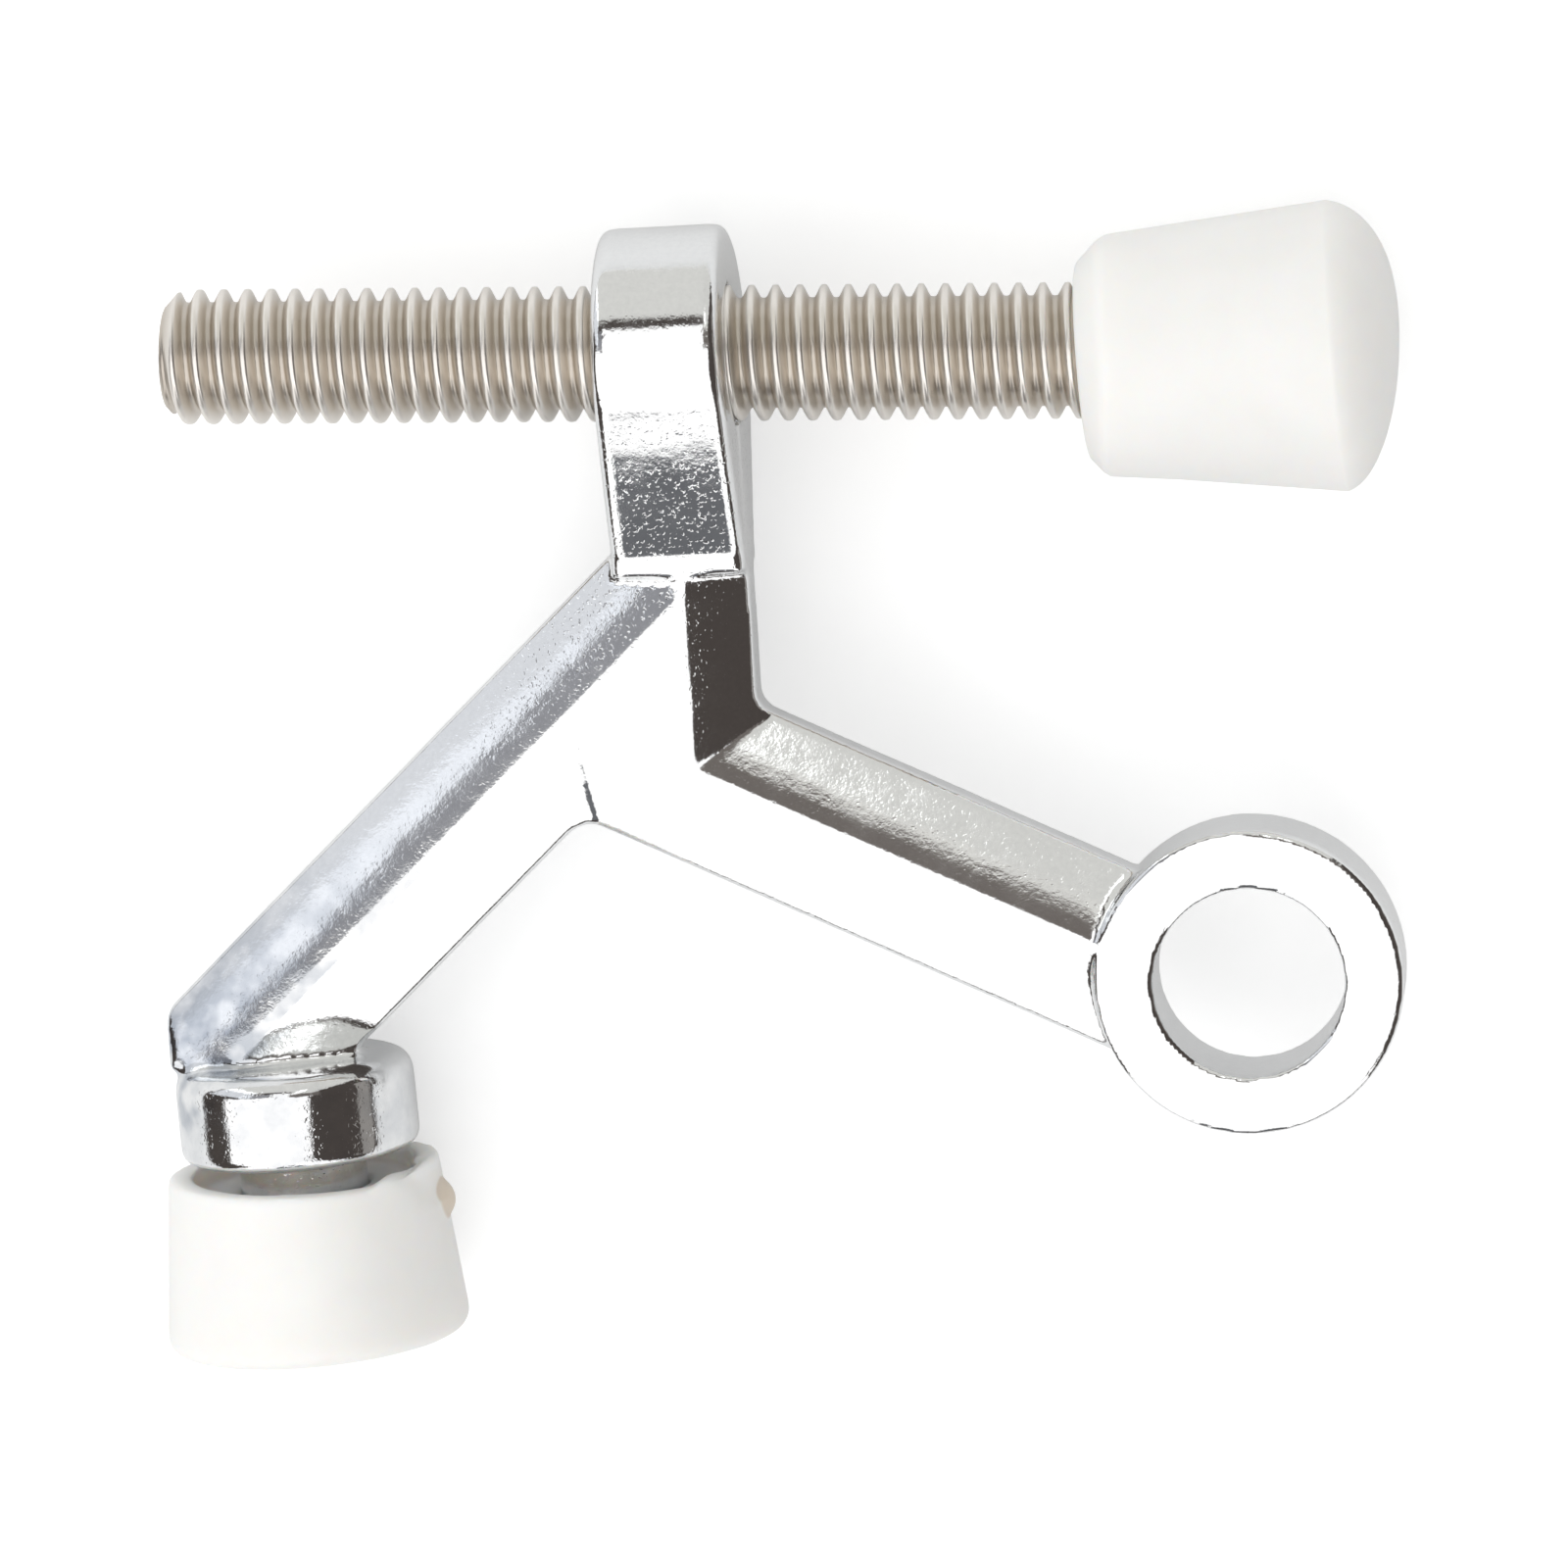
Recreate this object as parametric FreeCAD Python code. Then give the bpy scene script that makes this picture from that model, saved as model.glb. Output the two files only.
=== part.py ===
import FreeCAD, Part
import math
import os

# Hinge pin door stop. Millimetres, degrees.
# Origin: centre of the hinge-pin eye. +X runs along the adjusting rod toward
# its bumper, +Y from the eye toward the rod, +Z along the hinge pin.

# Hinge-pin eye
eye_bore_dia = 11.1
eye_wall = 3.45
eye_depth = 6.4
eye_edge_r = 0.2

# Adjusting rod, 5/16 inch major diameter, 18 threads to the inch
rod_dia = 7.9
rod_length = 63.5
rod_end_chamfer = 1.0
rod_height = 36.6
rod_left_reach = 29.6
thread_clearance = 0.05

# Boss round the rod, and the neck below it
boss_x = -33.4
boss_wall = 3.45
boss_width = 7.5
boss_edge_r = 0.7
neck_drop = 11.3
neck_foot_step = 0.2
neck_belly = 0.18
neck_blend_r = 2.0
neck_shelf = 0.6
body_lean = 2.5

# Crowned bars: stem, foot leg and eye arm
bar_wall = 0.55
ridge_slope = 15.0
flank_r = 22.0
web_drop = 0.05
stem_width = 7.9
leg_width = 9.7
leg_angle = 45.0
leg_lead = 3.48
arm_width = 10.5
arm_ridge_shift = 0.45
arm_angle = 24.0
arm_offset = 1.75
crotch_r = 1.7
shoulder_r = 1.2
heel_r = 1.6
sole_bed = 0.4

# Foot: flange, and the spigot that carries the foot bumper
foot_x = -56.9
foot_y = -5.2
foot_lean = 4.0
flange_dia = 14.2
flange_height = 5.6
flange_top_r = 1.2
flange_under_r = 0.7
spigot_dia = 7.6
spigot_length = 8.6
spigot_chamfer = 0.6

# Foot bumper, a moulded rubber cup whose rim has been forced up into a lip on one side
foot_bumper_gap = 0.9
foot_bumper_height = 10.5
foot_bumper_mouth_dia = 16.1
foot_bumper_end_dia = 18.2
foot_bumper_end_r = 0.9
foot_bumper_rim_wall = 1.5
foot_bumper_recess = 1.2
foot_bumper_fit = 0.02
rim_sag = 0.5
lip_start = 5.0
lip_run = 1.6
lip_rise = 0.9
nub_r = 1.4
nub_proud = 0.65
nub_drop = 2.6
spigot_end_room = 0.4

# Rod bumper, a longer moulded rubber tip with a low rounded end
rod_bumper_mouth_dia = 13.9
rod_bumper_crease_dia = 16.8
rod_bumper_skirt = 14.7
rod_bumper_dome = 3.55
rod_bumper_dome_r = 30.0
rod_bumper_shoulder_r = 3.2
rod_bumper_chamfer = 1.6
rod_bumper_lean = 2.0
rod_bumper_cover = 9.9
rod_end_room = 0.4

# Sizes that follow from those above
eye_r = eye_bore_dia / 2 + eye_wall
rod_r = rod_dia / 2
rod_hole_r = rod_r + thread_clearance
boss_r = rod_r + boss_wall
rod_left_x = boss_x - rod_left_reach
rod_right_x = rod_left_x + rod_length
bar_reach = max(stem_width / 2, leg_width / 2, arm_width / 2 + arm_ridge_shift)
stem_angle = -90 + body_lean
long_run = 4 * rod_height


def flank_drop(distance):
    """How far a bar's rounded flank has fallen at a distance from its ridge."""
    start = math.radians(ridge_slope)
    turned = math.asin(math.sin(start) + distance / flank_r)
    return flank_r * (math.cos(start) - math.cos(turned))


bar_half_depth = bar_wall + flank_drop(bar_reach)


def vec(x, y, z=0.0):
    return FreeCAD.Vector(x, y, z)


def heading(angle):
    """Unit vector in the plan, angle measured from +X."""
    return vec(math.cos(math.radians(angle)), math.sin(math.radians(angle)))


def offset(line, distance):
    """A plan line moved sideways, to its left when the distance is positive."""
    point, angle = line
    return point + heading(angle + 90) * distance, angle


def crossing(first, second):
    """Point where two plan lines (point, angle) meet."""
    p, a = first[0], heading(first[1])
    q, b = second[0], heading(second[1])
    run = ((q.x - p.x) * b.y - (q.y - p.y) * b.x) / (a.x * b.y - a.y * b.x)
    return p + a * run


def at_height(line, y):
    return crossing(line, (vec(0, y), 0.0))


def nearest(line, point):
    """Foot of the square dropped from a point on a plan line."""
    return crossing(line, (point, line[1] + 90))


def prism(points, half_depth):
    """Plan outline raised to both sides of the parting plane."""
    corners = [vec(p.x, p.y, -half_depth) for p in points]
    face = Part.Face(Part.makePolygon(corners + corners[:1]))
    return face.extrude(vec(0, 0, 2 * half_depth))


def upright_edges(solid, point):
    """Edges of a prism that stand over one plan point."""
    found = []
    for edge in solid.Edges:
        ends = [v.Point for v in edge.Vertexes]
        if len(ends) == 2 and all(math.hypot(e.x - point.x, e.y - point.y) < 1e-4 for e in ends):
            found.append(edge)
    return found


def round_corners(solid, corners):
    """Round the upright corners of a prism, given as (plan point, radius)."""
    for point, radius in corners:
        solid = solid.makeFillet(radius, upright_edges(solid, point))
    return solid


def crowned_bar(line, back, run):
    """Bar along a plan line, each face two rounded flanks that meet in a ridge."""
    point, angle = line
    side = bar_reach + bar_wall / 2
    low = bar_half_depth - flank_drop(side)
    half = bar_half_depth - flank_drop(side / 2)

    def flank(across, up):
        return Part.Arc(vec(0, 0, up * bar_half_depth), vec(0, across * side / 2, up * half),
                        vec(0, across * side, up * low)).toShape()

    edges = [flank(across, up) for across in (1, -1) for up in (1, -1)]
    edges += [Part.makeLine(vec(0, across * side, low), vec(0, across * side, -low)) for across in (1, -1)]
    bar = Part.Face(Part.Wire(Part.__sortEdges__(edges))).extrude(vec(back + run, 0, 0))
    bar.translate(vec(-back, 0, 0))
    bar.rotate(vec(0, 0), vec(0, 0, 1), angle)
    bar.translate(point)
    return bar


def keep_left(solid, line):
    """The part of a shape on the left of a plan line."""
    point, angle = line
    along = heading(angle) * long_run
    across = heading(angle + 90) * long_run
    return solid.common(prism([point - along, point + along, point + along + across,
                               point - along + across], long_run))


def leaning(solid, pivot, angle):
    """Turn a finished shape in the plan about a pivot."""
    solid.rotate(pivot, vec(0, 0, 1), angle)
    return solid


boss_centre = vec(boss_x, rod_height)
stem_line = (boss_centre, stem_angle)
foot_centre = vec(foot_x, foot_y)
leg_line = (foot_centre - vec(leg_lead, 0), 180 + leg_angle)
arm_line = (heading(-90 - arm_angle) * arm_offset, -arm_angle)


def make_arms():
    """Stem, leg and arm: one outline with rounded inner corners, crowned on both faces."""
    stem_right = offset(stem_line, stem_width / 2)
    stem_left = offset(stem_line, -stem_width / 2)
    leg_outer = offset(leg_line, -leg_width / 2)
    leg_inner = offset(leg_line, leg_width / 2)
    arm_upper = offset(arm_line, arm_width / 2 - arm_ridge_shift)
    arm_lower = offset(arm_line, -arm_width / 2 - arm_ridge_shift)
    heel_line = (foot_centre + heading(180 + foot_lean) * (flange_dia / 2), -90 + foot_lean)
    sole_y = foot_y - sole_bed
    heel = crossing(leg_outer, heel_line)
    crotch = crossing(leg_inner, arm_lower)
    shoulder = crossing(arm_upper, stem_right)
    outline = [
        at_height(stem_left, rod_height),
        crossing(stem_left, leg_outer),
        heel,
        at_height(heel_line, sole_y),
        at_height(leg_inner, sole_y),
        crotch,
        nearest(arm_lower, vec(0, 0)),
        nearest(arm_upper, vec(0, 0)),
        shoulder,
        at_height(stem_right, rod_height),
    ]
    plan = prism(outline, bar_half_depth + 1)
    plan = round_corners(plan, [(crotch, crotch_r), (shoulder, shoulder_r), (heel, heel_r)])
    stem_bar = keep_left(keep_left(crowned_bar(stem_line, 0, long_run), arm_line), stem_line)
    leg_bar = keep_left(crowned_bar(leg_line, long_run, long_run), (stem_line[0], stem_angle + 180))
    arm_bar = keep_left(crowned_bar(arm_line, long_run, 0), leg_line)
    ridges = [crossing(leg_line, stem_line), crossing(leg_line, arm_line), crossing(arm_line, stem_line)]
    web = prism(ridges, bar_half_depth - web_drop)
    return plan.common(stem_bar.fuse([leg_bar, arm_bar, web]))


def make_boss():
    """Boss and neck: round over the rod, running down in two flanks to a hollow blend on the stem."""
    shelf_z = bar_half_depth
    flank_z = shelf_z + neck_foot_step
    reach = math.hypot(neck_drop, flank_z)
    bearing = math.atan2(flank_z, -neck_drop)
    touch = bearing - math.acos(boss_r / reach)
    touch_y, touch_z = boss_r * math.cos(touch), boss_r * math.sin(touch)
    flank = math.atan2(touch_z - flank_z, touch_y + neck_drop)
    belly_y = (touch_y - neck_drop) / 2 - neck_belly * math.sin(flank)
    belly_z = (touch_z + flank_z) / 2 + neck_belly * math.cos(flank)
    blend_drop = neck_blend_r * math.sin(flank)
    blend_z = flank_z - neck_blend_r * (1 - math.cos(flank))
    middle_drop = neck_blend_r * (math.sin(flank) - math.sin(flank / 2))
    middle_z = blend_z + neck_blend_r * (1 - math.cos(flank / 2))
    base_drop = neck_drop + blend_drop + neck_shelf

    def at(y, z):
        return vec(0, y, z)

    front = [
        Part.Arc(at(boss_r, 0), at(boss_r * math.cos(touch / 2), boss_r * math.sin(touch / 2)),
                 at(touch_y, touch_z)).toShape(),
        Part.Arc(at(touch_y, touch_z), at(belly_y, belly_z), at(-neck_drop, flank_z)).toShape(),
        Part.Arc(at(-neck_drop, flank_z), at(-neck_drop - middle_drop, middle_z),
                 at(-neck_drop - blend_drop, blend_z)).toShape(),
        Part.makeLine(at(-neck_drop - blend_drop, blend_z), at(-base_drop, blend_z)),
        Part.makeLine(at(-base_drop, blend_z), at(-base_drop, 0)),
    ]
    back = [edge.mirror(vec(0, 0, 0), vec(0, 0, 1)) for edge in front]
    profile = Part.Face(Part.Wire(Part.__sortEdges__(front + back)))
    block = profile.extrude(vec(4 * stem_width, 0, 0))
    block.translate(vec(-2 * stem_width, 0, 0))
    flare = (stem_width - boss_width) / base_drop / 2
    top, low = 2 * boss_r, -2 * base_drop
    sides = [
        vec(-boss_width / 2 + flare * top, top),
        vec(-boss_width / 2 + flare * low, low),
        vec(boss_width / 2 - flare * low, low),
        vec(boss_width / 2 - flare * top, top),
    ]
    boss = block.common(prism(sides, 2 * boss_r))
    rims = [edge for edge in boss.Edges if abs(edge.BoundBox.XLength) < boss_width / 2
            and edge.BoundBox.YMin > -neck_drop - 1e-3 and edge.Length > boss_r / 2]
    boss = boss.makeFillet(boss_edge_r, rims)
    boss = leaning(boss, vec(0, 0), body_lean)
    boss.translate(boss_centre)
    return boss


def make_eye():
    """Flat ring with softened rims that slips over the hinge pin."""
    ring = Part.makeCylinder(eye_r, eye_depth, vec(0, 0, -eye_depth / 2))
    rims = [edge for edge in ring.Edges if edge.Closed]
    return ring.makeFillet(eye_edge_r, rims)


def make_foot():
    """Flange under the leg, with the bumper spigot standing below it."""
    down = vec(0, -1, 0)
    flange = Part.makeCylinder(flange_dia / 2, flange_height, foot_centre, down)
    upper = max((e for e in flange.Edges if e.Closed), key=lambda e: e.BoundBox.Center.y)
    flange = flange.makeFillet(flange_top_r, [upper])
    lower = min((e for e in flange.Edges if e.Closed), key=lambda e: e.BoundBox.Center.y)
    flange = flange.makeFillet(flange_under_r, [lower])
    reach = flange_height + spigot_length
    spigot = Part.makeCylinder(spigot_dia / 2, reach, foot_centre, down)
    tip = min((e for e in spigot.Edges if e.Closed), key=lambda e: e.BoundBox.Center.y)
    spigot = spigot.makeChamfer(spigot_chamfer, [tip])
    return leaning(flange.fuse(spigot), foot_centre, foot_lean)


def make_cast_body():
    body = make_arms().fuse([make_boss(), make_eye(), make_foot()])
    pin_hole = Part.makeCylinder(eye_bore_dia / 2, 2 * eye_depth, vec(0, 0, -eye_depth))
    rod_hole = Part.makeCylinder(rod_hole_r, 4 * boss_width, vec(boss_x - 2 * boss_width, rod_height, 0),
                                 vec(1, 0, 0))
    return body.cut([pin_hole, rod_hole]).removeSplitter()


def make_rod():
    rod = Part.makeCylinder(rod_r, rod_length, vec(rod_left_x, rod_height, 0), vec(1, 0, 0))
    ends = [edge for edge in rod.Edges if edge.Closed]
    return rod.makeChamfer(rod_end_chamfer, ends)


def make_rod_bumper():
    """Tip turned about its own axis, which sits a little askew on the rod."""
    mouth_x = rod_right_x - rod_bumper_cover
    mouth_r = rod_bumper_mouth_dia / 2
    crease_r = rod_bumper_crease_dia / 2
    total = rod_bumper_skirt + rod_bumper_dome
    dome_middle = vec(total - rod_bumper_dome_r, 0)
    crease = vec(rod_bumper_skirt, crease_r)
    across = crease - dome_middle
    inner_r = rod_bumper_dome_r - rod_bumper_shoulder_r
    along = (inner_r ** 2 - rod_bumper_shoulder_r ** 2 + across.Length ** 2) / (2 * across.Length)
    aside = math.sqrt(inner_r ** 2 - along ** 2)
    step = across * (1 / across.Length)
    shoulder = dome_middle + step * along + vec(step.y, -step.x) * aside
    turn = math.atan2(shoulder.y, shoulder.x - dome_middle.x)
    meet = dome_middle + heading(math.degrees(turn)) * rod_bumper_dome_r
    dome_half = dome_middle + heading(math.degrees(turn / 2)) * rod_bumper_dome_r
    bulge = (crease - shoulder) + (meet - shoulder)
    shoulder_half = shoulder + bulge * (rod_bumper_shoulder_r / bulge.Length)
    skirt = Part.makePolygon([
        vec(total, 0),
        vec(0, 0),
        vec(0, mouth_r - rod_bumper_chamfer),
        vec(rod_bumper_chamfer, mouth_r),
        crease,
    ])
    end = [Part.Arc(crease, shoulder_half, meet).toShape(), Part.Arc(meet, dome_half, vec(total, 0)).toShape()]
    tip = Part.Face(Part.Wire(skirt.Edges + end)).revolve(vec(0, 0, 0), vec(1, 0, 0), 360)
    tip.translate(vec(mouth_x, rod_height, 0))
    tip = leaning(tip, vec(rod_right_x, rod_height, 0), rod_bumper_lean)
    socket = Part.makeCylinder(rod_hole_r, rod_length + rod_end_room, vec(rod_left_x, rod_height, 0),
                               vec(1, 0, 0))
    return tip.cut(socket)


def make_foot_bumper():
    """Cup pushed on the spigot, with a sagging rim, a lip beside it and a moulding nub."""
    mouth_y = foot_y - flange_height - foot_bumper_gap
    mouth = vec(foot_x, mouth_y, 0)
    down = vec(0, -1, 0)
    mouth_r = foot_bumper_mouth_dia / 2
    end_r = foot_bumper_end_dia / 2
    cup = Part.makeCone(mouth_r, end_r, foot_bumper_height, mouth, down)
    end = min((e for e in cup.Edges if e.Closed), key=lambda e: e.BoundBox.Center.y)
    cup = cup.makeFillet(foot_bumper_end_r, [end])
    low = mouth_y - rim_sag
    rim = [
        vec(foot_x - 2 * end_r, mouth_y - 2 * foot_bumper_height),
        vec(foot_x - 2 * end_r, mouth_y),
        vec(foot_x - mouth_r, mouth_y),
        vec(foot_x + lip_start, low),
        vec(foot_x + lip_start + lip_run, low + lip_rise),
        vec(foot_x + 2 * end_r, low + lip_rise),
        vec(foot_x + 2 * end_r, mouth_y - 2 * foot_bumper_height),
    ]
    cup = cup.common(prism(rim, 2 * end_r))
    nub_x = mouth_r + (end_r - mouth_r) * nub_drop / foot_bumper_height - nub_r + nub_proud
    nub = Part.makeSphere(nub_r, vec(foot_x + nub_x, mouth_y - nub_drop, 0))
    recess = Part.makeCylinder(mouth_r - foot_bumper_rim_wall, foot_bumper_recess, mouth, down)
    socket_depth = spigot_length - foot_bumper_gap + spigot_end_room
    socket = Part.makeCylinder(spigot_dia / 2 + foot_bumper_fit, socket_depth, mouth, down)
    return leaning(cup.fuse(nub).cut([recess, socket]), foot_centre, foot_lean)


nodes = {
    "cast_body": make_cast_body,
    "threaded_rod": make_rod,
    "rod_bumper": make_rod_bumper,
    "foot_bumper": make_foot_bumper,
}

os.makedirs("parts", exist_ok=True)
for name, make in nodes.items():
    shape = make()
    if shape.ShapeType == "Compound" and len(shape.Solids) == 1:
        shape = shape.Solids[0]
    box = shape.BoundBox
    print(name, shape.ShapeType, "valid", shape.isValid(), "solids", len(shape.Solids),
          "volume %.1f" % shape.Volume,
          "box %.2f..%.2f %.2f..%.2f %.2f..%.2f" % (box.XMin, box.XMax, box.YMin, box.YMax,
                                                   box.ZMin, box.ZMax))
    shape.exportStep("parts/%s.step" % name)
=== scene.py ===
# %% [markdown]
# # Hinge pin door stop
# The stop hangs on a door's hinge pin and keeps the door off the wall. Its solids come in
# first, as a fixed frame that nothing here moves. All lengths are metres: the origin is the
# middle of the pin eye, +X runs along the screwed rod and +Z along the hinge pin.

# %% Load the solids
import math

import bmesh
import bpy
from mathutils import Matrix, Vector, noise
from mathutils.geometry import intersect_point_line


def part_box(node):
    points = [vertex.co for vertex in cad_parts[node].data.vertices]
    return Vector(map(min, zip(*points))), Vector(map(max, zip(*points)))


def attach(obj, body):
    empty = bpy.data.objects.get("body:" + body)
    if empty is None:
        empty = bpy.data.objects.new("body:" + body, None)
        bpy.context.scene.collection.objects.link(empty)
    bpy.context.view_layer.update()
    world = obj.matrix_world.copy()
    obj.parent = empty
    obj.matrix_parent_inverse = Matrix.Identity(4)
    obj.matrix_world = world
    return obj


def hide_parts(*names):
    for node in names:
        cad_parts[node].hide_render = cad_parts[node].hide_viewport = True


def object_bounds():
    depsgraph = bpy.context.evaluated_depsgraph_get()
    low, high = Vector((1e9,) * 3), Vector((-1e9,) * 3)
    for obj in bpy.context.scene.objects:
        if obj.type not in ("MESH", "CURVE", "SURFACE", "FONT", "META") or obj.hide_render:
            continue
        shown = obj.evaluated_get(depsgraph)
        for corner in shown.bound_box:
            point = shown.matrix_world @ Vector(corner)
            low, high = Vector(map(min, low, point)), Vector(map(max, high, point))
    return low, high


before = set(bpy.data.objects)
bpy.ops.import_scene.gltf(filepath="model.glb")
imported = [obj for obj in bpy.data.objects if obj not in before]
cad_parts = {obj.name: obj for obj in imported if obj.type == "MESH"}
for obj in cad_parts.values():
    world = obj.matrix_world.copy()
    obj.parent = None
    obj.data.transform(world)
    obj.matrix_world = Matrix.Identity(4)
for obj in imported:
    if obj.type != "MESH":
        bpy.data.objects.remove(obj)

MM = 0.001
cad_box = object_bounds()
print("solids:", sorted(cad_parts), "box in mm:", [[round(c / MM, 1) for c in v] for v in cad_box])

# %% [markdown]
# ## Helpers
# Colours are written as sRGB hex, the way a paint program shows them, and Blender's shaders
# want linear light, so one function turns one into the other. A second function adds a
# shader node, sets it and links it in one call, which keeps each material readable. The last
# one hands a finished mesh over: it rides on a body of the motion and stands for one solid.


# %% Colour and node helpers
def hex_colour(text):
    """Linear RGBA of an sRGB colour such as 'E8E4DE'."""
    parts = [int(text[i:i + 2], 16) / 255 for i in (0, 2, 4)]
    return [c / 12.92 if c <= 0.04045 else ((c + 0.055) / 1.055) ** 2.4 for c in parts] + [1.0]


def add(tree, kind, inputs=None, **settings):
    """Add a node; a node or socket given as an input is linked, anything else is set."""
    node = tree.nodes.new(kind)
    for name, value in settings.items():
        setattr(node, name, value)
    for name, value in (inputs or {}).items():
        if isinstance(value, bpy.types.Node):
            value = value.outputs[0]
        if isinstance(value, bpy.types.NodeSocket):
            tree.links.new(value, node.inputs[name])
        else:
            node.inputs[name].default_value = value
    return node


def start_material(name):
    """A bare material with its tree, its output and the piece's own coordinates."""
    material = bpy.data.materials.new(name)
    material.use_nodes = True
    tree = material.node_tree
    tree.nodes.clear()
    out = add(tree, "ShaderNodeOutputMaterial")
    place = add(tree, "ShaderNodeTexCoord").outputs["Object"]
    return material, tree, out, place


def finish_piece(name, bm, material, body, node):
    """Make the bmesh an object that stands for a solid and rides on its body."""
    mesh = bpy.data.meshes.new(name)
    bm.to_mesh(mesh)
    bm.free()
    mesh.materials.append(material)
    piece = bpy.data.objects.new(name, mesh)
    bpy.context.scene.collection.objects.link(piece)
    mesh.shade_smooth()
    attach(piece, body)
    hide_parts(node)
    triangles = sum(len(p.vertices) - 2 for p in mesh.polygons)
    print(name, "faces:", len(mesh.polygons), "triangles:", triangles)
    return piece


# %% [markdown]
# ## Where the plate is rough
# The body is a zinc die-casting with bright chrome plate, and plate follows the metal below it.
# The neck under the boss and the foot were not polished before plating, so they stay grainy and
# pitted, and the leg's outer flank grows cloudy toward the foot. Painting such places by hand
# would need an image. Here they are ramps along the body's own axes, multiplied together.

# %% Masks over the casting
NECK_Y = (13.0 * MM, 25.0 * MM, 32.2 * MM, 33.6 * MM)
FOOT_Y = (-5.0 * MM, -6.2 * MM)
FOOT_X = (-46.0 * MM, -50.0 * MM)
FOOT_GRAIN = 0.6
FOOT_CLOUD = 0.5
LEG_SIDE = Vector((-1, 1, 0)).normalized()
LEG_EDGE = (37.4 * MM, 38.4 * MM)
LEG_FADE = (9.0 * MM, -4.0 * MM)


def rough_places(tree, place):
    """Masks from 0 to 1: where the casting is unpolished, and where its plate is cloudy."""
    along, height, _ = add(tree, "ShaderNodeSeparateXYZ", {0: place}).outputs
    across = add(tree, "ShaderNodeVectorMath", {0: place, 1: LEG_SIDE}, operation="DOT_PRODUCT")
    ramps = {}
    for name, value, (start, end), top in (
            ("neck_low", height, NECK_Y[:2], 1.0), ("neck_high", height, NECK_Y[:1:-1], 1.0),
            ("foot_low", height, FOOT_Y, FOOT_GRAIN), ("foot_left", along, FOOT_X, 1.0),
            ("leg_side", across.outputs["Value"], LEG_EDGE, 1.0), ("leg_low", height, LEG_FADE, 1.0)):
        ramps[name] = add(tree, "ShaderNodeMapRange", {"Value": value, "From Min": start,
                                                       "From Max": end, "To Max": top})
    neck = add(tree, "ShaderNodeMath", {0: ramps["neck_low"], 1: ramps["neck_high"]}, operation="MULTIPLY")
    foot = add(tree, "ShaderNodeMath", {0: ramps["foot_low"], 1: ramps["foot_left"]}, operation="MULTIPLY")
    flank = add(tree, "ShaderNodeMath", {0: ramps["leg_side"], 1: ramps["leg_low"]}, operation="MULTIPLY")
    some = add(tree, "ShaderNodeMath", {0: foot, 1: FOOT_CLOUD}, operation="MULTIPLY")
    unpolished = add(tree, "ShaderNodeMath", {0: neck, 1: foot}, operation="MAXIMUM")
    cloudy = add(tree, "ShaderNodeMath", {0: flank, 1: some}, operation="MAXIMUM")
    return unpolished, cloudy


print("neck mask in mm:", [round(y / MM, 1) for y in NECK_Y], "foot:", [round(y / MM, 1) for y in FOOT_Y])

# %% [markdown]
# ## Chrome on cast zinc
# Chrome is a mirror, so it shows every ripple of the casting: reflections get ragged edges and
# small specks. A low roughness keeps it bright, and noises of three sizes in the bump give
# ripple, grain and pits. The masks make grain and pits stronger and grey the colour in spots.

# %% Chrome plate
RIPPLE = 1.8 * MM
GRAIN = 0.30 * MM
PIT = 0.24 * MM
PIT_EDGE = (0.60, 0.74)
SPOT_EDGE = (0.35, 0.6)
MIDDLE = (0.3, 0.7)
SHEEN = (0.05, 0.12)
WAVE_STRENGTH = 0.25
WAVE_DEPTH = 0.06 * MM
GRIT_STRENGTH = (0.13, 0.15)
PIT_STRENGTH = (0.05, 0.24)
GRIT_DEPTH = 0.05 * MM


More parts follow.
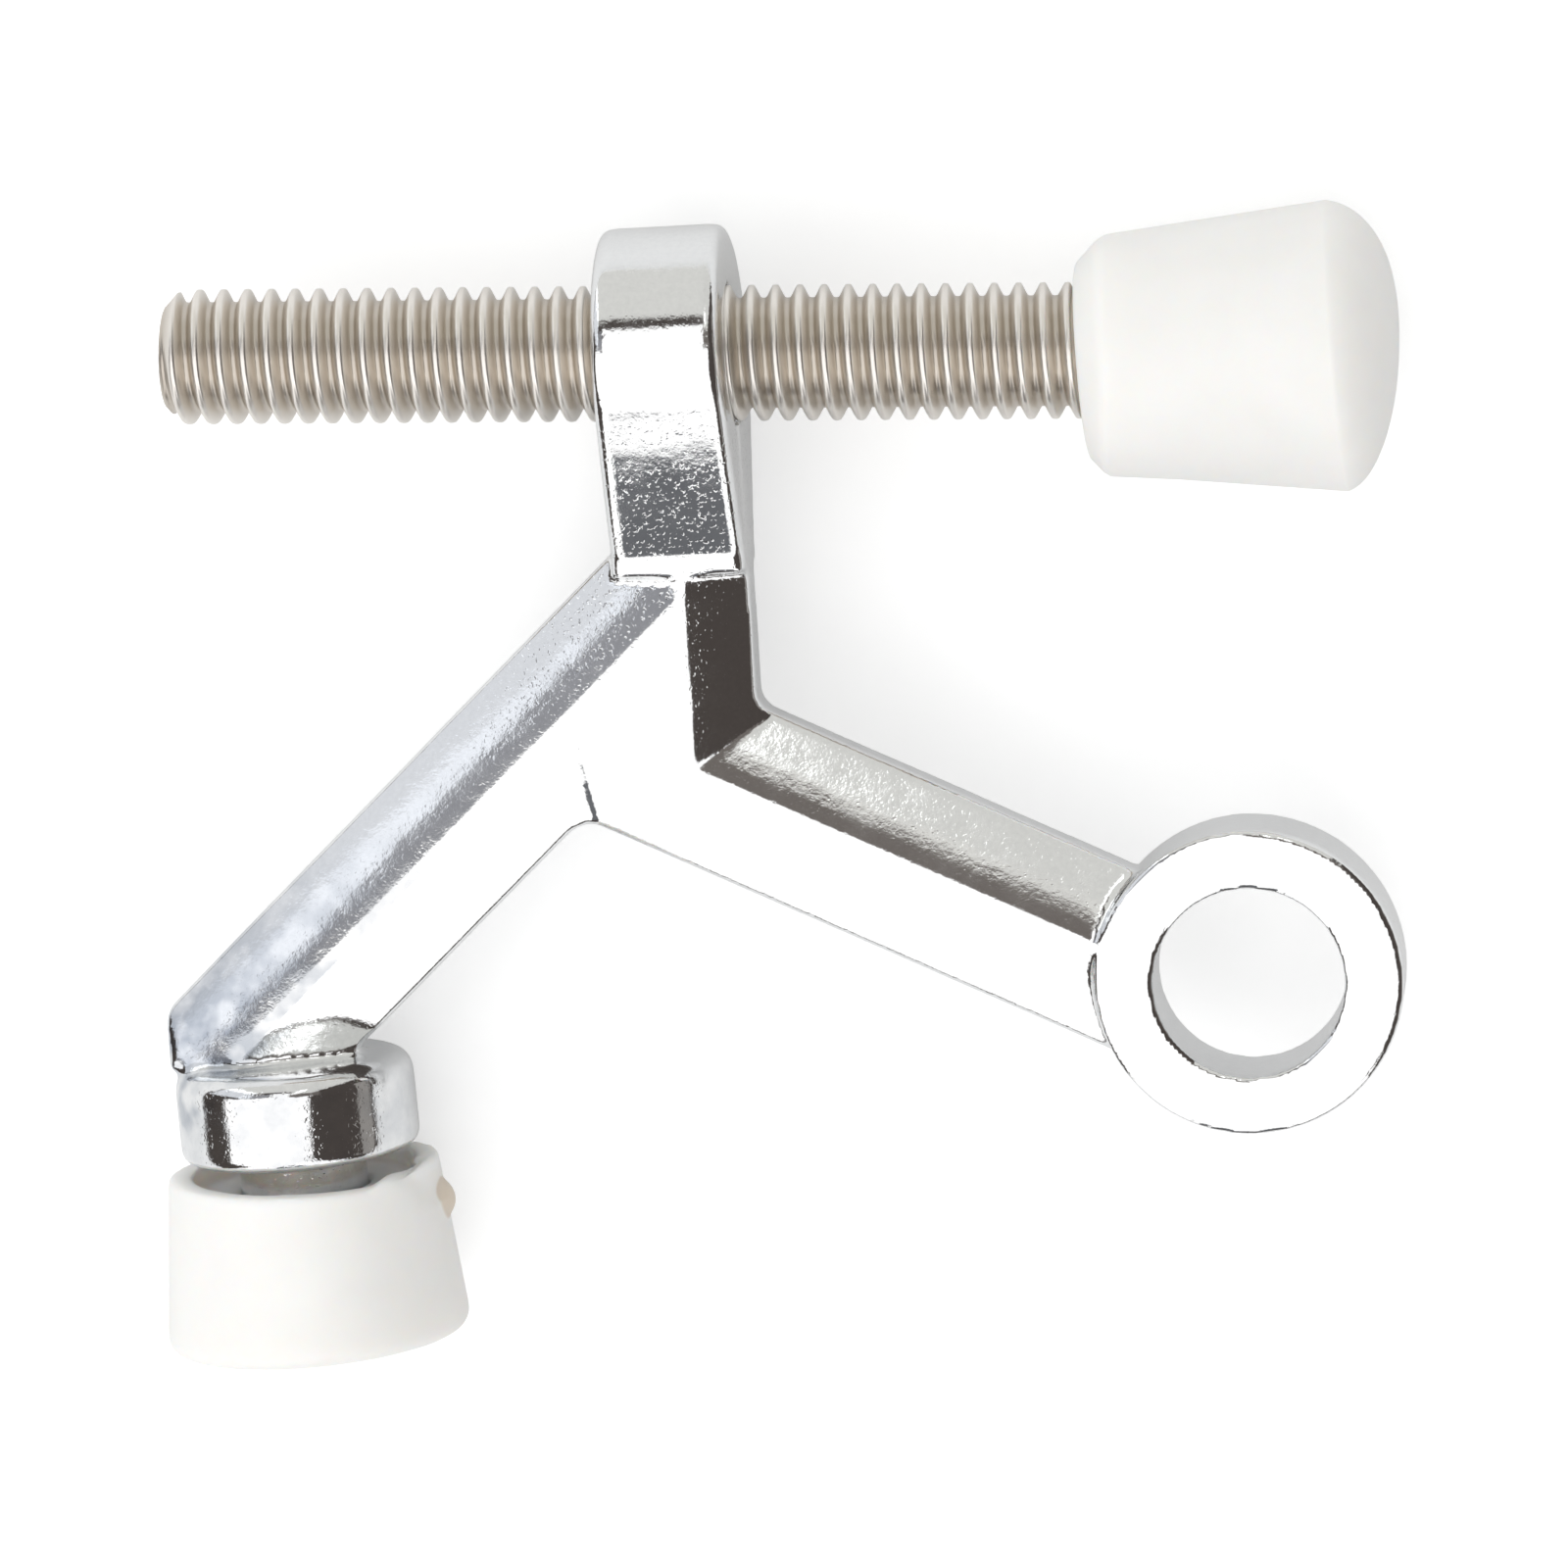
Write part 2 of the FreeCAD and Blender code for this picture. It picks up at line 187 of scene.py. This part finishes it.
def chrome_plate():
    """Bright chrome over die-cast zinc: a mirror with ripple, grain, pits and faint cloudiness."""
    material, tree, out, place = start_material("chrome_plated_die_cast_zinc")
    unpolished, cloudy = rough_places(tree, place)
    ripple = add(tree, "ShaderNodeTexNoise", {"Vector": place, "Scale": 1 / RIPPLE, "Detail": 2.0})
    grain = add(tree, "ShaderNodeTexNoise", {"Vector": place, "Scale": 1 / GRAIN, "Detail": 3.0,
                                             "Roughness": 0.6})
    pit = add(tree, "ShaderNodeTexNoise", {"Vector": place, "Scale": 1 / PIT, "Detail": 1.0})
    sheen = add(tree, "ShaderNodeMapRange", {"Value": ripple, "From Min": MIDDLE[0], "From Max": MIDDLE[1],
                                             "To Min": SHEEN[0], "To Max": SHEEN[1]})
    tint = add(tree, "ShaderNodeMix", {"Factor": grain, 6: hex_colour("E6E7E8"), 7: hex_colour("F5F6F6")},
               data_type="RGBA")
    patch = add(tree, "ShaderNodeMapRange", {"Value": ripple, "From Min": SPOT_EDGE[0],
                                             "From Max": SPOT_EDGE[1]})
    spots = add(tree, "ShaderNodeMath", {0: cloudy, 1: patch}, operation="MULTIPLY")
    skin = add(tree, "ShaderNodeMix", {"Factor": spots, 6: tint.outputs[2], 7: hex_colour("B9BEC5")},
               data_type="RGBA")
    strengths = [add(tree, "ShaderNodeMapRange", {"Value": unpolished, "To Min": low, "To Max": high})
                 for low, high in (GRIT_STRENGTH, PIT_STRENGTH)]
    hollow = add(tree, "ShaderNodeMapRange", {"Value": pit, "From Min": PIT_EDGE[0],
                                              "From Max": PIT_EDGE[1]})
    wave = add(tree, "ShaderNodeBump", {"Height": ripple, "Strength": WAVE_STRENGTH,
                                        "Distance": WAVE_DEPTH})
    grit = add(tree, "ShaderNodeBump", {"Height": grain, "Normal": wave, "Strength": strengths[0],
                                        "Distance": GRIT_DEPTH})
    holes = add(tree, "ShaderNodeBump", {"Height": hollow, "Normal": grit, "Strength": strengths[1],
                                         "Distance": GRIT_DEPTH}, invert=True)
    shader = add(tree, "ShaderNodeBsdfPrincipled", {"Base Color": skin.outputs[2], "Metallic": 1.0,
                                                    "Roughness": sheen, "Normal": holes})
    tree.links.new(shader.outputs[0], out.inputs["Surface"])
    return material


chrome = chrome_plate()
print("material:", chrome.name, "nodes:", len(chrome.node_tree.nodes))

# %% [markdown]
# ## The casting
# The solid has the right form but knife-sharp edges, and no casting has those. A copy of its
# mesh is merged, since it arrives as loose triangles, then rebuilt as an even grid of small
# quads and smoothed a few times. That rounds every edge by about a quarter of a millimetre, as
# tumbling before the plating does, and gives enough points for the slow waviness of a cooled
# casting. The heel, where the leg runs into the foot, is rounder, so it is smoothed further.

# %% Casting with softened edges
SOLID_WELD = 0.001 * MM
VOXEL = 0.24 * MM
SOFTEN = 2
HEEL_Y = (-7.0 * MM, -3.4 * MM)
HEEL_X = -46.0 * MM
HEEL_SOFTEN = 7
WAVE_SIZE = 5.0 * MM
WAVE_HEIGHT = 0.02 * MM


def softened(node, voxel, rounds):
    """Even grid of quads over a copy of a solid's mesh, smoothed a few times."""
    bm = bmesh.new()
    bm.from_mesh(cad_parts[node].data)
    bmesh.ops.remove_doubles(bm, verts=bm.verts, dist=SOLID_WELD)
    mesh = bpy.data.meshes.new(node + "_merged")
    bm.to_mesh(mesh)
    bm.free()
    rough = bpy.data.objects.new(mesh.name, mesh)
    bpy.context.scene.collection.objects.link(rough)
    grid = rough.modifiers.new("grid", "REMESH")
    grid.mode = "VOXEL"
    grid.voxel_size = voxel
    even = bpy.data.meshes.new_from_object(rough.evaluated_get(bpy.context.evaluated_depsgraph_get()))
    bpy.data.objects.remove(rough)
    bm = bmesh.new()
    bm.from_mesh(even)
    smooth(bm, bm.verts, rounds)
    return bm


def smooth(bm, verts, rounds):
    """Draw the vertices toward the middle of their neighbours, a few times over."""
    for _ in range(rounds):
        bmesh.ops.smooth_vert(bm, verts=verts, factor=0.5, use_axis_x=True, use_axis_y=True,
                              use_axis_z=True)
    bm.normal_update()


bm = softened("cast_body", VOXEL, SOFTEN)
heel = [v for v in bm.verts if HEEL_Y[0] < v.co.y < HEEL_Y[1] and v.co.x < HEEL_X]
smooth(bm, heel, HEEL_SOFTEN)
for vert in bm.verts:
    vert.co += vert.normal * (noise.noise(vert.co / WAVE_SIZE) - 0.5) * WAVE_HEIGHT
casting = finish_piece("casting", bm, chrome, "casting", "cast_body")

# %% [markdown]
# ## Nickel on rolled steel
# The rod is steel with a warm, slightly dull nickel plate. A rolled thread is smooth but not a
# mirror, so a middling roughness spreads the highlights along the crests. The colour turns darker
# toward the roots, by distance from the rod's axis: painted shade in the thread's grooves. A faint
# stain keeps the long row of turns from looking too even.

# %% Nickel plate
rod_low, rod_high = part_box("threaded_rod")
ROD_R = (rod_high.y - rod_low.y) / 2
THREAD_DEPTH = 0.75 * MM
ROOT_R = ROD_R - THREAD_DEPTH
ROD_AXIS = Vector((0, (rod_low.y + rod_high.y) / 2, 0))
STAIN = 3.0 * MM
ROLL_MARK = 0.18 * MM
ROLL_DEPTH = 0.03 * MM
ROLL_STRENGTH = 0.15
SATIN = (0.28, 0.36)


def nickel_plate():
    """Warm nickel over a rolled steel thread, satin with faint staining and painted shade in the roots."""
    material, tree, out, place = start_material("nickel_plated_rolled_steel")
    stain = add(tree, "ShaderNodeTexNoise", {"Vector": place, "Scale": 1 / STAIN, "Detail": 4.0})
    marks = add(tree, "ShaderNodeTexNoise", {"Vector": place, "Scale": 1 / ROLL_MARK, "Detail": 2.0})
    crest = add(tree, "ShaderNodeMix", {"Factor": stain, 6: hex_colour("EFEAE3"), 7: hex_colour("F7F3ED")},
                data_type="RGBA")
    # Painted shade: the colour darkens from crest to root by distance from the rod's axis.
    across = add(tree, "ShaderNodeVectorMath", {0: place, 1: (0, 1, 1)}, operation="MULTIPLY")
    away = add(tree, "ShaderNodeVectorMath", {0: across, 1: ROD_AXIS}, operation="DISTANCE")
    rise = add(tree, "ShaderNodeMapRange", {"Value": away.outputs["Value"], "From Min": ROOT_R,
                                            "From Max": ROD_R})
    tint = add(tree, "ShaderNodeMix", {"Factor": rise, 6: hex_colour("CCC4B9"), 7: crest.outputs[2]},
               data_type="RGBA")
    dull = add(tree, "ShaderNodeMapRange", {"Value": stain, "From Min": MIDDLE[0], "From Max": MIDDLE[1],
                                            "To Min": SATIN[0], "To Max": SATIN[1]})
    bump = add(tree, "ShaderNodeBump", {"Height": marks, "Strength": ROLL_STRENGTH, "Distance": ROLL_DEPTH})
    shader = add(tree, "ShaderNodeBsdfPrincipled", {"Base Color": tint.outputs[2], "Metallic": 1.0,
                                                    "Roughness": dull, "Normal": bump})
    tree.links.new(shader.outputs[0], out.inputs["Surface"])
    return material


nickel = nickel_plate()
print("material:", nickel.name, "nodes:", len(nickel.node_tree.nodes))

# %% [markdown]
# ## The threaded rod
# The rod is a 5/16 inch screw with 18 threads to the inch. One tooth of the thread, a chain of
# a few vertices one pitch long, is spun round the rod's axis with a small step along it at each
# turn of the spin. The end of one turn then lies on the start of the next, and merging them
# leaves one continuous right-hand thread. The tooth is a wave cut flat at crest and root, as
# thread rollers leave it. Two cuts square the ends off.

# %% Thread
PITCH = 25.4 / 18 * MM
STEPS = 44
CREST_PHASE = 0.75
TOOTH_STEPS = 18
FLATTED = 0.60
TOOTH = [(k / TOOTH_STEPS, min(max(0.5 - FLATTED * math.cos(2 * math.pi * k / TOOTH_STEPS), 0), 1))
         for k in range(TOOTH_STEPS + 1)]
WELD = 0.002 * MM
CUT_WELD = 1e-4 * MM
END_R = 3.0 * MM
END_SLOPE = 0.9


def thread():
    """One tooth spun along the rod, cut square and pointed at both ends."""
    bm = bmesh.new()
    turns = math.ceil((rod_high.x - rod_low.x) / PITCH) + 3
    first = (math.floor(rod_low.x / PITCH) - 1 + CREST_PHASE - 0.5) * PITCH
    chain = [bm.verts.new(ROD_AXIS + Vector((first + along * PITCH, ROOT_R + rise * (ROD_R - ROOT_R), 0)))
             for along, rise in TOOTH]
    edges = [bm.edges.new(pair) for pair in zip(chain, chain[1:])]
    bmesh.ops.spin(bm, geom=chain + edges, cent=ROD_AXIS, axis=(1, 0, 0), dvec=(PITCH / STEPS, 0, 0),
                   angle=turns * 2 * math.pi, steps=turns * STEPS, use_merge=False, use_duplicate=False)
    bmesh.ops.remove_doubles(bm, verts=bm.verts, dist=WELD)
    for vert in bm.verts:
        out = Vector((0, vert.co.y, vert.co.z)) - ROD_AXIS
        near = max(min(vert.co.x - rod_low.x, rod_high.x - vert.co.x), 0)
        limit = END_R + near / END_SLOPE
        if out.length > limit:
            vert.co -= out * (1 - limit / out.length)
    for end, clear in ((rod_low.x, "clear_inner"), (rod_high.x, "clear_outer")):
        geom = bm.verts[:] + bm.edges[:] + bm.faces[:]
        cut = bmesh.ops.bisect_plane(bm, geom=geom, dist=CUT_WELD, plane_co=(end, 0, 0), plane_no=(1, 0, 0),
                                     **{clear: True})
        rim = [g for g in cut["geom_cut"] if isinstance(g, bmesh.types.BMEdge)]
        bmesh.ops.holes_fill(bm, edges=rim, sides=0)
        for edge in rim:
            edge.smooth = False
    bmesh.ops.recalc_face_normals(bm, faces=bm.faces)
    print("thread turns:", round((rod_high.x - rod_low.x) / PITCH, 1), "root to crest mm:",
          round((ROD_R - ROOT_R) / MM, 2), "open edges:", sum(e.is_boundary for e in bm.edges))
    return bm


rod = finish_piece("screwed_rod", thread(), nickel, "rod", "threaded_rod")

# %% [markdown]
# ## White rubber
# Both tips are moulded in a warm white rubber. Rubber scatters a little light under its skin, so
# its shadows are soft and warm, and its skin has the fine grain of the mould. Near the nub that
# the mould's gate left on the foot's tip, the colour turns tan by distance from it.

# %% Rubber
SKIN = 0.25 * MM
SKIN_STRENGTH = 0.12
SKIN_DEPTH = 0.04 * MM
BLOOM = 4.0 * MM
NUB = Vector((-48.5, -13.7, 0)) * MM
NUB_EDGE = (1.45 * MM, 1.30 * MM)
MATT = (0.40, 0.54)
SCATTER = 1.6 * MM


def white_rubber():
    """Moulded warm-white rubber: matt, faintly clouded, with a fine mould grain."""
    material, tree, out, place = start_material("moulded_white_rubber")
    bloom = add(tree, "ShaderNodeTexNoise", {"Vector": place, "Scale": 1 / BLOOM, "Detail": 3.0})
    skin = add(tree, "ShaderNodeTexNoise", {"Vector": place, "Scale": 1 / SKIN, "Detail": 3.0})
    tint = add(tree, "ShaderNodeMix", {"Factor": bloom, 6: hex_colour("ECEBE8"), 7: hex_colour("F3F2F0")},
               data_type="RGBA")
    # The colour turns tan within a small distance of the nub on the foot's tip.
    away = add(tree, "ShaderNodeVectorMath", {0: place, 1: NUB}, operation="DISTANCE")
    near = add(tree, "ShaderNodeMapRange", {"Value": away.outputs["Value"], "From Min": NUB_EDGE[0],
                                            "From Max": NUB_EDGE[1]})
    tan_near_nub = add(tree, "ShaderNodeMix", {"Factor": near, 6: tint.outputs[2], 7: hex_colour("D8CDBF")},
               data_type="RGBA")
    dull = add(tree, "ShaderNodeMapRange", {"Value": skin, "To Min": MATT[0], "To Max": MATT[1]})
    bump = add(tree, "ShaderNodeBump", {"Height": skin, "Strength": SKIN_STRENGTH, "Distance": SKIN_DEPTH})
    shader = add(tree, "ShaderNodeBsdfPrincipled", {
        "Base Color": tan_near_nub.outputs[2], "Roughness": dull, "Normal": bump, "IOR": 1.5,
        "Subsurface Weight": 0.7, "Subsurface Scale": SCATTER, "Subsurface Radius": (1.0, 0.8, 0.62)})
    tree.links.new(shader.outputs[0], out.inputs["Surface"])
    return material


rubber = white_rubber()
print("material:", rubber.name, "nodes:", len(rubber.node_tree.nodes))

# %% [markdown]
# ## Spinning the rod's tip
# The hollow of a mould for a round tip is turned on a lathe, so the rod's tip is made the same
# way here: a half profile, a chain of edges, is spun round its axis with the seam merged. A
# bevel could round its corners afterwards, but an arc in the profile keeps the rings even.


# %% Spin a half profile
SPIN_STEPS = 96
POLE_WELD = 1e-4 * MM
ARC_STEPS = 5


def spun(bm, profile):
    """Spin points (along, radius) round the X axis."""
    chain = [bm.verts.new((along, radius, 0)) for along, radius in profile]
    edges = [bm.edges.new(pair) for pair in zip(chain, chain[1:])]
    bmesh.ops.spin(bm, geom=chain + edges, cent=(0, 0, 0), axis=(1, 0, 0), angle=2 * math.pi,
                   steps=SPIN_STEPS, use_merge=True, use_duplicate=False)
    bmesh.ops.remove_doubles(bm, verts=bm.verts, dist=POLE_WELD)


def rounded(points, corners):
    """The profile with the named corners rounded: {index: radius}."""
    path = []
    for i, here in enumerate(points):
        here = Vector(here)
        if i not in corners:
            path.append(here)
            continue
        back, on = Vector(points[i - 1]) - here, Vector(points[i + 1]) - here
        half = back.angle(on) / 2
        trim = corners[i] / math.tan(half)
        a, b = here + back.normalized() * trim, here + on.normalized() * trim
        middle = here + (back.normalized() + on.normalized()).normalized() * corners[i] / math.sin(half)
        for k in range(ARC_STEPS + 1):
            ray = (a - middle).lerp(b - middle, k / ARC_STEPS)
            path.append(middle + ray.normalized() * corners[i])
    return path


print("spin steps:", SPIN_STEPS)

# %% [markdown]
# ## The rod's tip
# The long tip has a plain skirt that widens to a crease and ends in a low dome. It sits a few
# degrees askew on the rod, so the outside is spun about its own axis and turned, while the
# socket is spun about the rod's axis, and the two are joined across the mouth.

# %% Rod tip
TIP_LEAN = math.radians(2.0)
TIP_SLANT = math.radians(2.2)
DOME_SLANT = math.radians(5.0)
TIP_COVER = 9.9 * MM
TIP_MOUTH_R = 6.95 * MM
TIP_CREASE_R = 8.4 * MM
TIP_SKIRT = 14.7 * MM
TIP_DOME = 3.55 * MM
DOME_POWER = 2.2
DOME_STEPS = 28
DOME_START = math.radians(8.0)
SEAM = 0.10 * MM
CHAMFER = 1.6 * MM
LOW_CHAMFER = 0.45
LOW_REACH = 0.735 * MM
LOW_BAND = 1.92 * MM
SKIRT_STEPS = 8
MOUTH_R = {1: 0.6 * MM, 2: 1.5 * MM}
SOCKET_R = ROD_R + 0.05 * MM
SOCKET_END = 0.4 * MM
SOCKET_LEAD = 0.9 * MM
SOCKET_LIP = 0.8 * MM


def rod_tip():
    """Outside spun about the tip's own axis, socket about the rod's, joined at the mouth."""
    bm = bmesh.new()
    turns = [DOME_START + (math.pi / 2 - DOME_START) * k / DOME_STEPS for k in range(DOME_STEPS)]
    reach = [math.sin(t) ** (2 / DOME_POWER) for t in turns]
    drop = [math.cos(t) ** (2 / DOME_POWER) for t in turns]
    dome = [(TIP_SKIRT + TIP_DOME * (x - reach[0]) / (1 - reach[0]), TIP_CREASE_R * r / drop[0])
            for x, r in zip(reach, drop)]
    dome.append((TIP_SKIRT + TIP_DOME, 0))
    flare = (TIP_CREASE_R - TIP_MOUTH_R) / (TIP_SKIRT - CHAMFER)
    skirt = [(0, SOCKET_R + SOCKET_LIP), (0, TIP_MOUTH_R - CHAMFER), (CHAMFER, TIP_MOUTH_R)]
    for step in range(2, SKIRT_STEPS):
        along = (TIP_SKIRT - CHAMFER) * step / SKIRT_STEPS
        skirt.append((CHAMFER + along, TIP_MOUTH_R + along * flare))
    skirt.append((TIP_SKIRT - SEAM, TIP_CREASE_R - SEAM * flare))
    spun(bm, rounded(skirt + dome, MOUTH_R))
    for vert in bm.verts:
        low = LOW_CHAMFER * max(-vert.co.y, 0) / TIP_MOUTH_R
        if vert.co.x < CHAMFER + LOW_REACH:
            out = Vector((0, vert.co.y, vert.co.z))
            up = max(1 - vert.co.x / CHAMFER, 0)
            vert.co += out.normalized() * CHAMFER * up * low * (out.length > TIP_MOUTH_R - LOW_BAND)
            vert.co.x *= 1 - low
        past = max(vert.co.x - TIP_SKIRT, 0) / TIP_DOME
        vert.co.x -= vert.co.y * (math.tan(TIP_SLANT) - past * math.tan(DOME_SLANT))
    place = Matrix.Translation(ROD_AXIS + Vector((rod_high.x, 0, 0))) @ Matrix.Rotation(TIP_LEAN, 4, "Z")
    bmesh.ops.transform(bm, matrix=place @ Matrix.Translation((-TIP_COVER, 0, 0)), verts=bm.verts)
    inside = bmesh.new()
    end_x = rod_high.x + SOCKET_END
    spun(inside, [(end_x, 0), (end_x, SOCKET_R), (rod_high.x - TIP_COVER + SOCKET_LEAD, SOCKET_R)])
    bmesh.ops.translate(inside, verts=inside.verts, vec=ROD_AXIS)
    socket = bpy.data.meshes.new("socket")
    inside.to_mesh(socket)
    inside.free()
    bm.from_mesh(socket)
    rims = [e for e in bm.edges if e.is_boundary]
    bmesh.ops.bridge_loops(bm, edges=rims)
    bmesh.ops.recalc_face_normals(bm, faces=bm.faces)
    print("tip rim edges joined:", len(rims))
    return bm


tip = finish_piece("rod_tip", rod_tip(), rubber, "tip", "rod_bumper")

# %% [markdown]
# ## The foot's tip
# The short tip is a cup pushed on the foot's spigot. Its rim has been forced out of shape on one
# side: a lip stands up there with a fold beside it, and a nub from the mould shows on the flank
# below. The solid has all this with hard edges, so the same even grid and smoothing as on the
# casting, with more rounds, turns it to soft rubber.

# %% Foot tip
CUP_VOXEL = 0.2 * MM
CUP_SOFTEN = 6
FOLD = (Vector((-50.1, -10.9, 0)) * MM, Vector((-48.9, -11.9, 0)) * MM, Vector((-48.1, -13.6, 0)) * MM)
FOLD_WIDTH = 0.55 * MM
FOLD_DEPTH = 0.50 * MM
LIP = Vector((-48.5, -10.9, 0)) * MM
LIP_REACH = 1.3 * MM
LIP_SWELL = 0.25 * MM


def off_fold(point):
    """Distance from the fold seen from the front, and how far along it the nearest place lies."""
    best = None
    for leg in (0, 1):
        share = min(max(intersect_point_line(point, FOLD[leg], FOLD[leg + 1])[1], 0), 1)
        gap = (point - FOLD[leg].lerp(FOLD[leg + 1], share)).length
        if best is None or gap < best[0]:
            best = (gap, (leg + share) / 2)
    return best


bm = softened("foot_bumper", CUP_VOXEL, CUP_SOFTEN)
for vert in [v for v in bm.verts if v.co.z > 0]:
    seen = Vector((vert.co.x, vert.co.y, 0))
    gap, along = off_fold(seen)
    sunk = FOLD_DEPTH * math.sqrt(1 - along) * math.exp(-(gap / FOLD_WIDTH) ** 2)
    swell = LIP_SWELL * math.exp(-((seen - LIP).length / LIP_REACH) ** 2)
    vert.co += vert.normal * (swell - sunk)
cup = finish_piece("foot_tip", bm, rubber, "casting", "foot_bumper")

# %% [markdown]
# ## Table
# The stop lies on plain white paper and is seen from above, a little from the right. The paper
# is lifted a little for the camera alone, so that it comes out white and keeps the soft shadow.

# %% Table
FLOOR_Z = cad_box[0].z
FLOOR_SIZE = 6.0
FIBRE = MM / 0.9
LIFT = 0.36
bpy.ops.mesh.primitive_plane_add(size=FLOOR_SIZE, location=(0, 0, FLOOR_Z))
table = bpy.context.object
table.name = "table"
paper, tree, out, place = start_material("matt_white_paper")
fibres = add(tree, "ShaderNodeTexNoise", {"Vector": place, "Scale": 1 / FIBRE})
tone = add(tree, "ShaderNodeMix", {"Factor": fibres, 6: hex_colour("E8E8E8"), 7: hex_colour("ECECEC")},
           data_type="RGBA")
matt = add(tree, "ShaderNodeBsdfDiffuse", {"Color": tone.outputs[2]})
rays = add(tree, "ShaderNodeLightPath")
lift = add(tree, "ShaderNodeMath", {0: rays.outputs["Is Camera Ray"], 1: LIFT}, operation="MULTIPLY")
glow = add(tree, "ShaderNodeEmission", {"Strength": lift})
both = add(tree, "ShaderNodeAddShader", {0: matt, 1: glow})
tree.links.new(both.outputs[0], out.inputs["Surface"])
table.data.materials.append(paper)
print("table at mm:", round(FLOOR_Z / MM, 2))

# %% [markdown]
# ## Cards round the stop
# Chrome shows nothing of its own: each flank mirrors whatever stands in one direction. So the
# light comes from plain glowing cards, each put where one group of flanks looks, and the gaps
# between them are what the dark bands mirror. Softboxes in a studio do the same work.


# %% Lamps and cards
def card(name, low, high, radiance, tint="FFFFFF"):
    """Glowing card between two corners of a flat box, facing the stop; radiance 1 is white."""
    low, high = Vector(low), Vector(high)
    middle, size = (low + high) / 2, high - low
    thin = min(range(3), key=lambda i: size[i])
    facing = Vector((0, 0, 0))
    facing[thin] = -1 if middle[thin] > 0 else 1
    data = bpy.data.lights.new(name, "AREA")
    data.shape = "RECTANGLE"
    data.size, data.size_y = [(size.y, size.z), (size.x, size.z), (size.x, size.y)][thin]
    data.energy = radiance * math.pi * data.size * data.size_y
    data.color = hex_colour(tint)[:3]
    ob = bpy.data.objects.new(name, data)
    bpy.context.scene.collection.objects.link(ob)
    ob.location = middle
    if thin < 2:
        ob.rotation_mode = "QUATERNION"
        ob.rotation_quaternion = facing.to_track_quat("-Z", "Y")
    ob.visible_camera = False


card("overhead", (-1.20, -0.62, 0.60), (0.18, 0.135, 0.60), 1.2)
card("boss_patch", (-0.22, 0.135, 0.60), (-0.03, 0.38, 0.60), 1.2)
card("near_left", (-0.60, -0.62, 0.06), (-0.20, -0.62, 0.60), 1.2)
card("near_middle", (-0.20, -0.62, 0.565), (0.09, -0.62, 0.60), 1.2)
card("near_right", (0.09, -0.62, 0.20), (0.55, -0.62, 1.12), 1.2)
card("far_left", (-0.75, 0.62, -0.005), (0.0, 0.62, 0.75), 0.72, "F7F8F4")
card("far_right", (0.0, 0.62, -0.005), (0.50, 0.62, 1.25), 0.69, "F7F8F4")
card("left", (-0.82, 0.24, 0.05), (-0.82, 0.95, 0.96), 0.80, "F2F6FC")
card("right", (0.80, -0.50, 0.05), (0.80, 0.50, 0.30), 0.25, "F8F5F0")
card("foot_patch", (0.085, 0.612, 0.60), (0.176, 0.612, 1.06), 1.3)
card("dim_near", (-0.20, -0.62, 0.20), (0.09, -0.62, 0.565), 0.11, "DDEEFF")
card("dim_left", (-0.80, 0.14, 0.60), (-0.24, 0.33, 0.60), 0.28, "EEF4FF")
card("dim_right", (-0.03, 0.14, 0.60), (0.32, 0.34, 0.60), 0.10, "FFF6EE")

# %% [markdown]
# ## The room
# Rubber and paper want an even, light room, but a mirror would show it everywhere and lose its
# dark bands. A world shader can tell rays apart, so mirror reflections see a dark room, the
# camera sees white, and all other light comes from a pale grey.

# %% Room
ROOM_LIGHT = 0.55
world = bpy.data.worlds.new("studio")
bpy.context.scene.world = world
world.use_nodes = True
tree = world.node_tree
tree.nodes.clear()
rays = add(tree, "ShaderNodeLightPath")
room = add(tree, "ShaderNodeBackground", {"Color": hex_colour("E4E4E4"), "Strength": ROOM_LIGHT})
dark = add(tree, "ShaderNodeBackground", {"Color": hex_colour("4C4643"), "Strength": 1.0})
white = add(tree, "ShaderNodeBackground", {"Color": (1, 1, 1, 1), "Strength": 1.0})
shiny = add(tree, "ShaderNodeMixShader", {0: rays.outputs["Is Glossy Ray"], 1: room, 2: dark})
shown = add(tree, "ShaderNodeMixShader", {0: rays.outputs["Is Camera Ray"], 1: shiny, 2: white})
out = add(tree, "ShaderNodeOutputWorld")
tree.links.new(shown.outputs[0], out.inputs["Surface"])
print("world:", world.name, "nodes:", len(tree.nodes))

# %% [markdown]
# ## Camera
# The photograph looks down on the stop from a few degrees right of and above square, with a
# trace of roll. The camera is placed by those angles round a target on the stop's middle plane.

# %% Camera
YAW, RISE, ROLL = math.radians(6.5), math.radians(9.5), math.radians(-1.14)
TARGET = Vector((-27.24, 11.23, 0)) * MM
DISTANCE = 450 * MM
PIXELS_PER_MM = 17.43
FRAME_PIXELS = 1600
SENSOR_MM = 36.0

back = Vector((math.sin(YAW) * math.cos(RISE), math.sin(RISE), math.cos(YAW) * math.cos(RISE)))
level = Vector((math.cos(YAW), 0, -math.sin(YAW)))
above = back.cross(level)
right = level * math.cos(ROLL) + above * math.sin(ROLL)
up = above * math.cos(ROLL) - level * math.sin(ROLL)
data = bpy.data.cameras.new("camera")
data.sensor_width = SENSOR_MM
data.lens = SENSOR_MM * PIXELS_PER_MM * DISTANCE / MM / FRAME_PIXELS
data.clip_start, data.clip_end = 0.01, 20.0
camera = bpy.data.objects.new("camera", data)
bpy.context.scene.collection.objects.link(camera)
stand = TARGET + back * DISTANCE
camera.matrix_world = Matrix((
    (right.x, up.x, back.x, stand.x), (right.y, up.y, back.y, stand.y),
    (right.z, up.z, back.z, stand.z), (0, 0, 0, 1)))
bpy.context.scene.camera = camera
bpy.context.scene.view_settings.view_transform = "Standard"
print("lens mm:", round(data.lens, 1))
